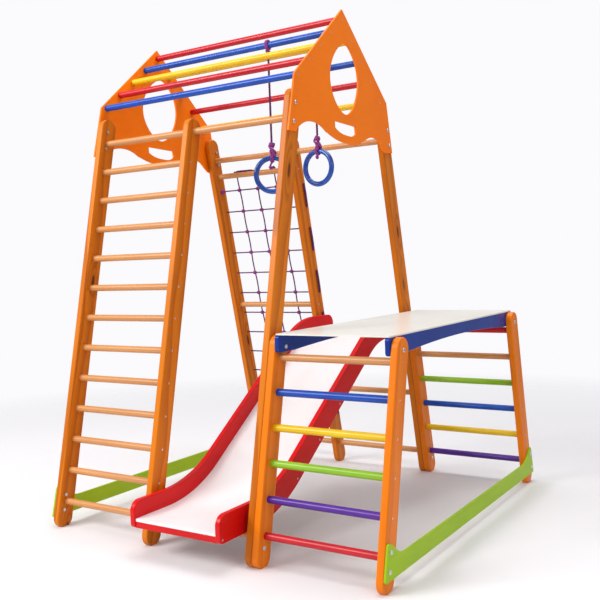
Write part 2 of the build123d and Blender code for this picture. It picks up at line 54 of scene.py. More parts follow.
net_rope_radius = 0.003
rung_radius = 0.011
front_ring_turn = radians(28)
rear_ring_turn = radians(-6)
rope_clearance = 0.0004
hitch_rise = 0.0085
screw_head_radius = 0.004
strands_per_rope = 3
strand_share = 0.464
strand_overlap = 1.06
lay_per_diameter = 3.3
steps_per_lay = 9
ring_section_sides = 28
ring_steps = 96
curve_steps = 16
column_bow = 0.0022
merge_distance = 1e-6
mould_line_height = 0.0003
mould_line_band = 0.0004


# ---- reading the frame ----
def box_centre(node):
    low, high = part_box(node)
    return (Vector(low) + Vector(high)) / 2


def solids_of(node):
    """The vertices of each separate solid in a CAD node, as lists of points."""
    bm = bmesh.new()
    bm.from_mesh(frame["nodes"][node].data)
    bmesh.ops.remove_doubles(bm, verts=bm.verts, dist=1e-5)
    waiting = set(bm.verts)
    solids = []
    while waiting:
        edge_of_solid = [waiting.pop()]
        found = []
        while edge_of_solid:
            vert = edge_of_solid.pop()
            found.append(vert.co.copy())
            for edge in vert.link_edges:
                other = edge.other_vert(vert)
                if other in waiting:
                    waiting.discard(other)
                    edge_of_solid.append(other)
        solids.append(found)
    bm.free()
    solids.sort(key=lambda points: (round(-max(p.z for p in points), 4), min(p.x for p in points)))
    return solids


def span(points):
    """Lowest and highest corner of some points."""
    low = Vector(min(p[i] for p in points) for i in range(3))
    high = Vector(max(p[i] for p in points) for i in range(3))
    return low, high


# ---- materials ----
class Channel:
    """A node's output, or a number, whose arithmetic adds Math nodes."""

    def __init__(self, finish, socket):
        self.finish = finish
        self.socket = socket

    def math(self, operation, *values):
        sockets = {str(index): value for index, value in enumerate(values)}
        node = self.finish.node("ShaderNodeMath", {"operation": operation}, **sockets)
        return Channel(self.finish, node.outputs[0])

    def __add__(self, other):
        return self.math("ADD", self, other)

    def __radd__(self, other):
        return self.math("ADD", other, self)

    def __sub__(self, other):
        return self.math("SUBTRACT", self, other)

    def __mul__(self, other):
        return self.math("MULTIPLY", self, other)

    def clamp(self, low, high):
        """0 where the value is at low, 1 where it is at high."""
        node = self.finish.node("ShaderNodeMapRange", {}, Value=self, **{"From Min": low, "From Max": high})
        return Channel(self.finish, node.outputs[0])


class Finish:
    """A material made node by node around one Principled shader."""

    def __init__(self, name, **constants):
        self.material = bpy.data.materials.new(name)
        self.material.use_nodes = True
        self.tree = self.material.node_tree
        self.tree.nodes.clear()
        self.shader = self.node("ShaderNodeBsdfPrincipled")
        output = self.node("ShaderNodeOutputMaterial")
        self.tree.links.new(self.shader.outputs[0], output.inputs["Surface"])
        self.place = self.out(self.node("ShaderNodeTexCoord"), "Object")
        self.feed(**constants)

    def node(self, kind, settings=None, **sockets):
        """Add a node: its settings first, then the values or links of its sockets."""
        node = self.tree.nodes.new(kind)
        for key, value in (settings or {}).items():
            setattr(node, key, value)
        for key, value in sockets.items():
            target = node.inputs[int(key)] if key.isdigit() else node.inputs[key]
            self.connect(target, value)
        return node

    def connect(self, target, value):
        if isinstance(value, Channel):
            self.tree.links.new(value.socket, target)
        elif isinstance(value, tuple) and len(value) == 3 and len(target.default_value) == 4:
            target.default_value = (*value, 1.0)
        else:
            target.default_value = value

    def out(self, node, name=0):
        return Channel(self, node.outputs[name])

    def feed(self, **sockets):
        """Set or link sockets of the shader, named with underscores for spaces."""
        for key, value in sockets.items():
            self.connect(self.shader.inputs[key.replace("_", " ")], value)

    def moved(self, scale=(1, 1, 1), turn=(0, 0, 0), offset=(0, 0, 0), place=None):
        """The pattern's place, turned, scaled and moved."""
        node = self.node("ShaderNodeMapping", {}, Vector=place or self.place, Scale=scale, Rotation=turn,
                         Location=offset)
        return self.out(node)

    def noise(self, place, scale, detail=3.0, roughness=0.5, distortion=0.0):
        node = self.node("ShaderNodeTexNoise", {}, Vector=place, Scale=scale, Detail=detail,
                         Roughness=roughness, Distortion=distortion)
        return self.out(node, 0)

    def blend(self, share, first, second):
        """The first colour where share is 0, the second where it is 1."""
        node = self.node("ShaderNodeMix", {"data_type": "RGBA"})
        self.connect(node.inputs[0], share)
        self.connect(node.inputs[6], first)
        self.connect(node.inputs[7], second)
        return Channel(self, node.outputs[2])

    def raise_surface(self, height, distance, strength=1.0, round_edges=0.0):
        """Bump from a height, over edges that look rounded where a radius is given."""
        sockets = {"Height": height, "Distance": distance, "Strength": strength}
        if round_edges:
            bevel = self.node("ShaderNodeBevel", {"samples": 6}, Radius=round_edges)
            sockets["Normal"] = self.out(bevel)
        self.feed(Normal=self.out(self.node("ShaderNodeBump", {}, **sockets)))


def pine(name, light, dark, knot, lean=0.0, knots=True, seed=0.0, roughness=0.34, coat=0.05):
    """Varnished pine: growth lines along the board that flow round dark knots."""
    finish = Finish(name, Coat_Roughness=0.2, Specular_IOR_Level=0.15)
    board = finish.moved(turn=(lean, 0, 0), offset=(seed, seed * 0.7, seed * 1.3))
    parts = finish.node("ShaderNodeSeparateXYZ", {}, Vector=board)
    across = finish.out(parts, 1) + finish.out(parts, 0) * 0.35
    along = finish.out(parts, 2)
    sheet = finish.out(finish.node("ShaderNodeCombineXYZ", {}, X=across * 11.0, Y=along * 3.1))
    cells = finish.node("ShaderNodeTexVoronoi", {"voronoi_dimensions": "2D"}, Vector=sheet, Scale=1.0,
                        Randomness=1.0)
    distance = finish.out(cells, "Distance")
    picked = finish.out(finish.node("ShaderNodeSeparateColor", {}, Color=finish.out(cells, "Color")), 0)
    chosen = picked.clamp(0.78, 0.82) if knots else picked * 0.0
    near_knot = distance.clamp(0.34, 0.05) * chosen
    core = distance.clamp(0.085, 0.055) * chosen
    wander = finish.noise(finish.moved((5.0, 5.0, 1.1), place=board), 1.0, 2.0)
    phase = across * 24.0 + wander * 3.4 + near_knot * 1.9
    rings = phase.math("FRACT", phase)
    late_wood = rings.clamp(0.25, 0.95) * rings.clamp(1.0, 0.93)
    fibre = finish.noise(finish.moved((420.0, 420.0, 9.0), place=board), 1.0, 2.0)
    blotch = finish.noise(finish.moved((9.0, 9.0, 2.0), place=board), 1.0, 3.0)
    tone = late_wood * 0.5 + fibre * 0.28 + blotch * 0.35 - 0.16
    colour = finish.blend(tone.clamp(0.0, 1.0), light, dark)
    colour = finish.blend(near_knot * 0.45, colour, dark)
    colour = finish.blend(core * 0.85, colour, knot)
    finish.feed(Base_Color=colour, Roughness=roughness + fibre * 0.12, Coat_Weight=coat)
    finish.raise_surface(fibre * 0.5 + late_wood * 0.6 + core * 0.5, 0.00025, 0.6)
    return finish.material


def dowel(name, light, dark):
    """Clear-varnished beech turned round: short dark flecks and long lines along X."""
    finish = Finish(name, Coat_Roughness=0.25)
    line = finish.noise(finish.moved((4.0, 260.0, 260.0)), 1.0, 3.0)
    fleck = finish.noise(finish.moved((55.0, 900.0, 900.0)), 1.0, 1.0).clamp(0.6, 0.72)
    blotch = finish.noise(finish.moved((3.0, 14.0, 14.0)), 1.0, 2.0)
    tone = line * 0.75 + blotch * 0.55 - 0.18
    colour = finish.blend(tone.clamp(0.1, 0.9), light, dark)
    colour = finish.blend(fleck * 0.3, colour, dark)
    finish.feed(Base_Color=colour, Roughness=0.38 + line * 0.15, Coat_Weight=0.25)
    finish.raise_surface(line, 0.0002, 0.5)
    return finish.material


def bar_paint(name, colour, deep):
    """Satin paint on a dowel: the grain shows through as faint lines, with thin places and scuffs."""
    finish = Finish(name, Coat_Roughness=0.2, Specular_IOR_Level=0.25)
    line = finish.noise(finish.moved((5.0, 300.0, 300.0)), 1.0, 2.0)
    cloud = finish.noise(finish.moved((12.0, 30.0, 30.0)), 1.0, 3.0)
    scuff = finish.noise(finish.moved((40.0, 120.0, 120.0)), 1.0, 4.0, 0.7).clamp(0.63, 0.72)
    tone = (line * 0.5 + cloud * 0.6).clamp(0.35, 0.8)
    shade = finish.blend(tone, colour, deep)
    finish.feed(Base_Color=shade, Roughness=0.32 + scuff * 0.25 + cloud * 0.08, Coat_Weight=0.2)
    finish.raise_surface(line * 0.7 + cloud * 0.3, 0.00018, 0.5)
    return finish.material


def board_paint(name, colour, deep, roughness=0.33, round_edges=0.0012, coat=0.3):
    """Sprayed satin paint on a board: orange peel, soft clouds and slightly rubbed edges."""
    finish = Finish(name, Coat_Roughness=0.2, Specular_IOR_Level=0.15)
    peel = finish.noise(finish.moved(), 520.0, 2.0)
    cloud = finish.noise(finish.moved((5.0, 5.0, 5.0)), 1.0, 3.0)
    grain = finish.noise(finish.moved((90.0, 9.0, 160.0)), 1.0, 3.0)
    rub = finish.noise(finish.moved(), 34.0, 4.0, 0.65).clamp(0.62, 0.75)
    tone = (cloud * 0.7 + grain * 0.35).clamp(0.3, 0.8)
    finish.feed(Base_Color=finish.blend(tone, colour, deep), Roughness=roughness + rub * 0.14 + cloud * 0.06,
                Coat_Weight=coat)
    finish.raise_surface(peel * 0.6 + grain * 0.5, 0.00022, 0.5, round_edges)
    return finish.material


def laminate(name, colour, deep):
    """Hard white laminate: faint clouds, fine texture and marks rubbed along its length."""
    finish = Finish(name, Coat_Roughness=0.12)
    texture = finish.noise(finish.moved(), 700.0, 1.0)
    cloud = finish.noise(finish.moved((3.0, 3.0, 3.0)), 1.0, 3.0)
    rubbed = finish.noise(finish.moved((190.0, 2.0, 2.0)), 1.0, 4.0, 0.6).clamp(0.6, 0.75)
    finish.feed(Base_Color=finish.blend(cloud.clamp(0.35, 0.75), colour, deep),
                Roughness=0.3 + rubbed * 0.2, Coat_Weight=0.25)
    finish.raise_surface(texture, 0.00008, 0.4, 0.001)
    return finish.material


def moulded(name, colour, deep):
    """Glossy moulded plastic with a faint flow pattern and hairline scratches."""
    finish = Finish(name, Coat_Roughness=0.06, Subsurface_Weight=0.04)
    flow = finish.noise(finish.moved(), 26.0, 2.0, 0.5, 1.5)
    hair = finish.noise(finish.moved((500.0, 30.0, 500.0)), 1.0, 2.0).clamp(0.6, 0.75)
    finish.feed(Base_Color=finish.blend(flow.clamp(0.3, 0.8), colour, deep), Roughness=0.24 + hair * 0.15,
                Coat_Weight=0.35)
    finish.raise_surface(flow, 0.00012, 0.5)
    return finish.material


def yarn(name, colour, deep, bright):
    """Laid synthetic rope: fine filaments, fuzzy and slightly uneven in colour."""
    finish = Finish(name, Sheen_Weight=0.5, Sheen_Roughness=0.5, Sheen_Tint=(0.75, 0.45, 0.8, 1.0))
    filament = finish.noise(finish.moved(), 1700.0, 2.0)
    thread = finish.noise(finish.moved(), 420.0, 2.0, 0.5, 0.6)
    patch = finish.noise(finish.moved(), 30.0, 2.0)
    shade = finish.blend((thread * 0.7 + patch * 0.4).clamp(0.35, 0.8), colour, deep)
    shade = finish.blend(filament.clamp(0.6, 0.8) * 0.4, shade, bright)
    finish.feed(Base_Color=shade, Roughness=0.72 + filament * 0.2)
    finish.raise_surface(filament * 0.5 + thread * 0.6, 0.0004, 0.8)
    return finish.material


def plated(name, colour, dull):
    """Bright zinc plate: slightly cloudy, with turning marks and small dull spots."""
    finish = Finish(name, Metallic=1.0)
    cloud = finish.noise(finish.moved(), 240.0, 3.0)
    marks = finish.noise(finish.moved((60.0, 900.0, 900.0)), 1.0, 1.0)
    finish.feed(Base_Color=finish.blend(cloud.clamp(0.35, 0.75), colour, dull), Roughness=0.24 + marks * 0.2)
    finish.raise_surface(marks, 0.00005, 0.5)
    return finish.material


honey_light = (0.74, 0.205, 0.006)
honey_dark = (0.36, 0.072, 0.002)
knot_brown = (0.075, 0.018, 0.003)
lacquer_light = (0.88, 0.22, 0.004)
lacquer_dark = (0.66, 0.135, 0.002)
finishes = {
    "honey_front": pine("honey_pine_front", honey_light, honey_dark, knot_brown, post_lean),
    "honey_rear": pine("honey_pine_rear", honey_light, honey_dark, knot_brown, -post_lean, seed=0.37),
    "lacquer_front": pine("orange_lacquer_front", lacquer_light, lacquer_dark, lacquer_dark, post_lean,
                          knots=False),
    "lacquer_rear": pine("orange_lacquer_rear", lacquer_light, lacquer_dark, lacquer_dark, -post_lean,
                         knots=False, seed=0.61),
    "orange_board": board_paint("orange_board", (1.0, 0.22, 0.001), (0.92, 0.18, 0.001), 0.4, coat=0.03),
    "natural_dowel": dowel("natural_dowel", (0.72, 0.33, 0.105), (0.46, 0.17, 0.038)),
    "red_bar": bar_paint("red_bar", (0.62, 0.012, 0.022), (0.45, 0.006, 0.014)),
    "blue_bar": bar_paint("blue_bar", (0.006, 0.085, 0.5), (0.003, 0.045, 0.32)),
    "yellow_bar": bar_paint("yellow_bar", (0.86, 0.58, 0.008), (0.74, 0.44, 0.004)),
    "green_bar": bar_paint("green_bar", (0.3, 0.56, 0.02), (0.19, 0.4, 0.01)),
    "purple_bar": bar_paint("purple_bar", (0.11, 0.022, 0.34), (0.06, 0.01, 0.21)),
    "chute_red": board_paint("chute_red", (0.72, 0.003, 0.005), (0.54, 0.002, 0.003), 0.3, 0.0015, 0.12),
    "chute_white": laminate("chute_white", (0.86, 0.86, 0.86), (0.78, 0.78, 0.79)),
    "batten_wood": pine("batten_wood", (0.72, 0.5, 0.28), (0.52, 0.31, 0.14), knot_brown, knots=False,
                        seed=0.2, roughness=0.5, coat=0.0),
    "panel_white": laminate("panel_white", (0.86, 0.84, 0.76), (0.78, 0.75, 0.66)),
    "blue_board": board_paint("blue_board", (0.008, 0.045, 0.31), (0.004, 0.025, 0.2), 0.3, 0.0015, 0.15),
    "lime_board": board_paint("lime_board", (0.4, 0.6, 0.012), (0.3, 0.49, 0.008), 0.4, coat=0.05),
    "ring_blue": moulded("ring_blue", (0.003, 0.085, 0.47), (0.002, 0.042, 0.28)),
    "purple_rope": yarn("purple_rope", (0.14, 0.014, 0.14), (0.05, 0.005, 0.055), (0.5, 0.16, 0.48)),
    # a lighter copy of the purple rope for its knots and hitch turns: painted light, the same rope drawn
    # brighter there than along its straight stretches
    "purple_rope_painted_lighter": yarn("purple_rope_knots_painted_lighter", (0.34, 0.04, 0.33), (0.17, 0.018, 0.17), (0.65, 0.25, 0.62)),
    "zinc": plated("zinc", (0.78, 0.79, 0.81), (0.5, 0.51, 0.54)),
}
slot_of_node = {part["node"]: part["material_slot"] for part in frame["record"]["subparts"]}


def finish_for(node):
    """The finish of a CAD node: leaning posts have one whose grain leans with them."""
    slot = slot_of_node[node]
    end = "front" if "_front_" in node else "rear"
    if slot == "honey_pine":
        return finishes["honey_" + end]
    if slot == "orange_lacquer":
        return finishes["lacquer_" + end]
    return finishes[slot]


for node, carried in frame["nodes"].items():
    materials = carried.data.materials
    if len(materials) == 0:
        materials.append(finish_for(node))
    for index in range(len(materials)):
        materials[index] = finish_for(node)


# ---- making pieces ----
def piece_from(bm, name, slot, body, nodes=(), smooth=True, finish=None):
    """A finished piece from a bmesh: its finish, its body and the CAD nodes that it stands for."""
    mesh = bpy.data.meshes.new(name)
    bm.to_mesh(mesh)
    bm.free()
    if smooth:
        mesh.shade_smooth()
    mesh.materials.append(finishes[finish or slot])
    piece = bpy.data.objects.new(name, mesh)
    bpy.context.scene.collection.objects.link(piece)
    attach(piece, body)
    if nodes:
        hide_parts(*nodes)
    return piece


def curve_mesh(points, kind, thickness=0.0):
    """The mesh of a curve through or near the points: bare, or a round tube with closed ends."""
    curve = bpy.data.curves.new("route", "CURVE")
    curve.dimensions = "3D"
    curve.resolution_u = curve_steps
    line = curve.splines.new(kind)
    line.points.add(len(points) - 1)
    for point, where in zip(line.points, points):
        point.co = (*where, 1.0)
    if kind == "NURBS":
        line.order_u = 3
        line.use_endpoint_u = True
    curve.bevel_depth = thickness
    curve.bevel_resolution = 1
    curve.use_fill_caps = thickness > 0
    holder = bpy.data.objects.new("route", curve)
    mesh = bpy.data.meshes.new_from_object(holder)
    bpy.data.objects.remove(holder)
    bpy.data.curves.remove(curve)
    return mesh


def smooth_line(control):
    """Points read along the smooth line that the control points guide."""
    mesh = curve_mesh(control, "NURBS")
    points = [vertex.co.copy() for vertex in mesh.vertices]
    bpy.data.meshes.remove(mesh)
    return points


def evenly(points, step):
    """Points at an even step along a line of points."""
    lengths = [(b - a).length for a, b in zip(points, points[1:])]
    count = max(2, ceil(sum(lengths) / step))
    even = [points[0].copy()]
    target = sum(lengths) / count
    travelled = 0.0
    for a, b, length in zip(points, points[1:], lengths):
        while length > 0 and len(even) < count and travelled + length >= len(even) * target:
            even.append(a.lerp(b, (len(even) * target - travelled) / length))
        travelled += length
    even.append(points[-1].copy())
    return even


def add_tube(bm, points, radius):
    tube = curve_mesh(points, "POLY", radius)
    bm.from_mesh(tube)
    bpy.data.meshes.remove(tube)


def add_laid_rope(bm, control, radius, smooth=True):
    """Three strands twisted round a smooth line."""
    line = smooth_line(control) if smooth else [Vector(p) for p in control]
    lay = lay_per_diameter * 2 * radius
    middle = evenly(line, lay / steps_per_lay)
    strand_radius = radius * strand_share
    offset = radius - strand_radius
    strands = [[] for _ in range(strands_per_rope)]
    side = None
    travelled = 0.0
    for index, point in enumerate(middle):
        ahead = middle[min(index + 1, len(middle) - 1)]
        behind = middle[max(index - 1, 0)]
        along = (ahead - behind).normalized()
        if side is None:
            side = along.orthogonal().normalized()
        side = (side - along * side.dot(along)).normalized()
        across = along.cross(side)
        if index:
            travelled += (point - middle[index - 1]).length
        for number, strand in enumerate(strands):
            angle = 2 * pi * (travelled / lay + number / strands_per_rope)
            strand.append(point + (side * cos(angle) + across * sin(angle)) * offset)
    for strand in strands:
        add_tube(bm, strand, strand_radius * strand_overlap)


def clean(bm):
    """Join doubled points and turn every face outward."""
    bmesh.ops.remove_doubles(bm, verts=bm.verts, dist=merge_distance)
    bmesh.ops.recalc_face_normals(bm, faces=bm.faces)


def turns_round(centre, axis, start, radius, turns, rise, steps=10):
    """Control points of rope turns round an axis, beginning in the direction of start."""
    axis = Vector(axis).normalized()
    start = Vector(start)
    first = (start - axis * start.dot(axis)).normalized()
    second = axis.cross(first)
    count = round(turns * steps)
    swell = 1 / cos(pi / steps) ** 0.5
    points = []
    for i in range(count + 1):
        angle = 2 * pi * i / steps
        shift = axis * (rise * (i / count - 0.5))
        points.append(Vector(centre) + shift + (first * cos(angle) + second * sin(angle)) * radius * swell)
    return points


# ---- gym rings and their ropes ----
def gym_ring(name, turn):
    """A round plastic ring, spun from a round section, with a fine mould line round its outside."""
    node = name + "_gym_ring"
    centre = box_centre(node)
    bm = bmesh.new()
    section = bmesh.ops.create_circle(bm, segments=ring_section_sides, radius=ring_tube_radius)
    verts = section["verts"]
    bmesh.ops.rotate(bm, verts=verts, cent=(0, 0, 0), matrix=Matrix.Rotation(pi / ring_section_sides, 3, "Z"))
    bmesh.ops.translate(bm, verts=verts, vec=(ring_radius, 0, 0))
    bmesh.ops.rotate(bm, verts=verts, cent=(0, 0, 0), matrix=Matrix.Rotation(pi / 2, 3, "X"))
    bmesh.ops.spin(bm, geom=bm.edges[:], cent=(0, 0, 0), axis=(0, 0, 1), angle=2 * pi, steps=ring_steps,
                   use_merge=True)
    bmesh.ops.remove_doubles(bm, verts=bm.verts, dist=merge_distance)
    mould_line = [v for v in bm.verts if abs(v.co.z) < mould_line_band and v.co.xy.length > ring_radius]
    for vert in mould_line:
        vert.co.xy *= 1 + mould_line_height / vert.co.xy.length
    placed = Matrix.Translation(centre) @ Matrix.Rotation(turn, 4, "Z") @ Matrix.Rotation(pi / 2, 4, "X")
    bmesh.ops.transform(bm, matrix=placed, verts=bm.verts)
    bmesh.ops.recalc_face_normals(bm, faces=bm.faces)
    piece_from(bm, name + "_moulded_ring", "ring_blue", name + "_ring", [node])


def bar_point(name):
    """Where a ring's rope is hung on its roof bar, which is where its swing joint is."""
    joints = {entry["name"]: entry["pos_m"] for entry in frame["record"]["behaviour"]["joints"]}
    return Vector(joints[name + "_ring_swing"])


def bar_hitch(name):
    """The rope's two turns round its roof bar, and the wrapped knot under them."""
    node = name + "_bar_knot"
    low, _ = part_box(node)
    bar = bar_point(name)
    x, y, z = bar
    around = rung_radius + ring_rope_radius + rope_clearance
    bm = bmesh.new()
    bar_turns = turns_round(bar, (1, 0, 0), (0, 0, -1), around, 2, hitch_rise)
    add_laid_rope(bm, bar_turns, ring_rope_radius)
    top = z - around
    knot_middle = Vector((x, y, (top + low[2]) / 2))
    wraps = turns_round(knot_middle, (0, 0, 1), (0, -1, 0), 0.0052, 3, 0.0135, 8)
    add_laid_rope(bm, wraps, ring_rope_radius * 0.85)
    rise = [(x - 0.004, y - 0.003, top + 0.004), (x - 0.0045, y - 0.006, top - 0.004),
            (x, y - 0.0078, top - 0.011), (x + 0.004, y - 0.0045, low[2] + 0.0035), (x, y, low[2] + 0.001)]
    add_laid_rope(bm, rise, ring_rope_radius * 0.8)
    clean(bm)
    # the hitch takes the lighter copy of the same purple rope: painted light
    piece_from(bm, name + "_bar_hitch", "purple_rope", name + "_hitch", [node], finish="purple_rope_painted_lighter")


def ring_hitch(name, turn, tail_out):
    """Rope turns round the top of a gym ring, the wrapped knot above, crossing strands and a knotted tail."""
    node = name + "_ring_knot"
    low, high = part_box(node)
    ring = box_centre(name + "_gym_ring")
    around = ring_tube_radius + ring_rope_radius + rope_clearance
    top = ring_radius
    bm = bmesh.new()
    ring_turns = turns_round((0, 0, top), (1, 0, 0), (0, 0, -1), around, 2, hitch_rise)
    add_laid_rope(bm, ring_turns, ring_rope_radius)
    knot_low = top + around - ring_rope_radius
    knot_high = high[2] - ring.z
    knob = turns_round((0, 0, knot_high - 0.011), (0.35, 0.1, 1), (0, -1, 0), 0.0075, 2.25, 0.011, 8)
    add_laid_rope(bm, knob, ring_rope_radius * 1.1)
    wraps = turns_round((0, 0, knot_low + 0.012), (-0.2, 0, 1), (0, -1, 0), 0.006, 2.5, 0.017, 8)
    add_laid_rope(bm, wraps, ring_rope_radius)
    cross = [(0.0075, -0.0095, top + 0.004), (0.0095, -0.0105, top + 0.014), (0.002, -0.012, top + 0.026),
             (-0.0075, -0.0105, top + 0.036), (-0.008, -0.003, knot_high - 0.012),
             (-0.002, 0, knot_high - 0.003), (0, 0, knot_high)]
    add_laid_rope(bm, cross, ring_rope_radius * 1.1)
    back = [(0.008, 0.0085, top + 0.006), (0.0085, 0.0095, top + 0.016), (0.001, 0.0115, top + 0.028),
            (-0.008, 0.0095, top + 0.038), (-0.0075, 0.002, knot_high - 0.01),
            (-0.001, 0.001, knot_high - 0.001)]
    add_laid_rope(bm, back, ring_rope_radius * 0.95)
    spare = [(0.001, -0.008, top + 0.03), (0.009, -0.0085, top + 0.025), (0.013, -0.005, top + 0.017),
             (0.0145, -0.003, top + 0.0125)]
    add_laid_rope(bm, spare, ring_rope_radius)
    tail_top = ring_radius - around
    end_z = low[2] - ring.z + 0.007
    end_x = -0.004 - tail_out
    tail = [(0.003, -0.003, tail_top + 0.002), (-0.001, -0.004, tail_top - 0.004),
            (end_x, -0.003, (tail_top + end_z) / 2), (end_x, 0, end_z + 0.002)]
    add_laid_rope(bm, tail, ring_rope_radius * 0.9)
    stop = turns_round((end_x, 0, end_z), (0.7, 0.2, 1), (0, -1, 0), 0.0042, 2.25, 0.006, 8)
    add_laid_rope(bm, stop, ring_rope_radius * 0.85)
    clean(bm)
    bmesh.ops.transform(bm, matrix=Matrix.Translation(ring) @ Matrix.Rotation(turn, 4, "Z"), verts=bm.verts)
    # the hitch takes the lighter copy of the same purple rope: painted light
    return piece_from(bm, name + "_ring_hitch", "purple_rope", name + "_ring", [node], finish="purple_rope_painted_lighter")


def ring_rope(name, knot):
    """The straight hanging stretch between the two knots, from the bar down to the ring."""
    node = name + "_ring_rope"
    low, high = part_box(node)
    x, y, _ = box_centre(node)
    path = [(x, y, high[2]), (x, y, high[2] - 0.06), (x, y, (low[2] + high[2]) / 2), (x, y, low[2] + 0.06),
            (x, y, low[2])]
    bm = bmesh.new()
    add_laid_rope(bm, path, ring_rope_radius)
    clean(bm)
    rope = piece_from(bm, name + "_hanging_rope", "purple_rope", name + "_rope", [node])


for name, turn, tail_out in (("front", front_ring_turn, 0.003), ("rear", rear_ring_turn, 0.0)):
    gym_ring(name, turn)
    bar_hitch(name)
    ring_rope(name, ring_hitch(name, turn, tail_out))


# ---- rope net ----
def column_line(low, high):
    """Top and low end of a net column: it leans outward and along X as it goes down."""
    r = net_rope_radius
    return Vector((low.x + r, low.y + r, high.z)), Vector((high.x - r, high.y - r, low.z))


def cross_ropes(rows):
    """The net's level ropes, pulled straight from post to post."""
    bm = bmesh.new()
    for low, high in rows:
        middle = (low + high) / 2
        ends = [(low.x, middle.y, middle.z), (high.x, middle.y, middle.z)]
        add_laid_rope(bm, ends, net_rope_radius, smooth=False)
    clean(bm)
    piece_from(bm, "net_cross_ropes", "purple_rope", "gym_frame", ["net_rows"])


def crossing_places(column, row_middles):
    """Where a column passes each row, with the middle of the knot that ties them there."""
    top, end = column_line(*column)
    places = []
    for row in row_middles:
        crossing = top.lerp(end, (top.z - row.z) / (top.z - end.z))
        knot_centre = Vector((crossing.x, (crossing.y + row.y) / 2, row.z))
        places.append((crossing, knot_centre))
    return places


def hanging_ropes(columns, row_middles):
    """The net's columns, which bow a little to one side and the other between knots."""
    bm = bmesh.new()
    for number, column in enumerate(columns):
        top, end = column_line(*column)
        stations = [top, *(crossing for crossing, _ in crossing_places(column, row_middles)), end]
        control = []
        for index, (a, b) in enumerate(zip(stations, stations[1:])):
            bow = column_bow if (index + number) % 2 else -column_bow
            control += [a, a.lerp(b, 0.5) + Vector((bow, 0, 0))]
        control.append(end)
        add_laid_rope(bm, control, net_rope_radius)
    clean(bm)
    piece_from(bm, "net_hanging_ropes", "purple_rope", "gym_frame", ["net_columns"])


def crossing_knots(rows, columns, row_middles):
    """A wrapped knot at each crossing, and the bulky one that starts the net at the left post."""
    bm = bmesh.new()
    for column in columns:
        for _, centre in crossing_places(column, row_middles):
            wide = turns_round(centre, (0.9, 0.1, 0.55), (0, 1, -0.3), 0.006, 2, 0.009, 8)
            add_laid_rope(bm, wide, net_rope_radius)
            crossed = turns_round(centre, (-0.6, 0.1, 0.8), (0, 1, 0.3), 0.0062, 1.25, 0.005, 8)
            add_laid_rope(bm, crossed, net_rope_radius)
    start = Vector((rows[0][0].x + 0.0065, row_middles[0].y - 0.011, row_middles[0].z - 0.003))
    long_wrap = turns_round(start, (1, 0.1, 0), (0, 1, 0), 0.0068, 3, 0.0115, 8)
    add_laid_rope(bm, long_wrap, net_rope_radius * 1.1)
    cross_wrap = turns_round(start, (0.2, 1, 0.5), (1, 0, 0), 0.0062, 1.5, 0.005, 8)
    add_laid_rope(bm, cross_wrap, net_rope_radius)
    clean(bm)
    # the knots take the lighter copy of the same purple rope: painted light
    piece_from(bm, "net_crossing_knots", "purple_rope", "gym_frame", ["net_knots"], finish="purple_rope_painted_lighter")


def add_post_strand(bm, low, high, middle_x, left_face, right_face):
    """A doubled strand down a post's outer face, from one row's bore to the next."""
    r = net_rope_radius
    on_right = (low.x + high.x) / 2 > middle_x
    face = right_face if on_right else left_face
    out = Vector((1 if on_right else -1, 0, 0))
    top = Vector((face, low.y + r, high.z - r))
    end = Vector((face, high.y - r, low.z + r))
    down = (end - top) * 0.07
    control = [top - out * 0.006, top + out * 0.0015, top + out * (r + 0.0012) + down,
               top.lerp(end, 0.5) + out * (r + 0.0022), end + out * (r + 0.0012) - down,
               end + out * 0.0015, end - out * 0.006]
    for beside in (-0.0029, 0.0029):
        add_laid_rope(bm, [point + Vector((0, beside, 0)) for point in control], r)
    for hole in (top, end):
        collar = turns_round(hole + out * 0.0028, out, (0, 0, 1), 0.0028, 1, 0.002, 8)
        add_laid_rope(bm, collar, r * 0.75)


def add_rung_loop(bm, low, high):
    """The thick stretch laid along the upper rung, between the first two columns."""
    y = (low.y + high.y) / 2
    z = (low.z + high.z) / 2
    control = [(low.x, y + 0.012, z - 0.006), (low.x + 0.006, y + 0.004, z + 0.001),
               (low.x + 0.03, y - 0.002, z + 0.0005), (high.x - 0.03, y + 0.003, z + 0.0005),
               (high.x - 0.006, y + 0.005, z + 0.001), (high.x, y + 0.012, z - 0.006)]
    add_laid_rope(bm, control, net_rope_radius * 1.5)


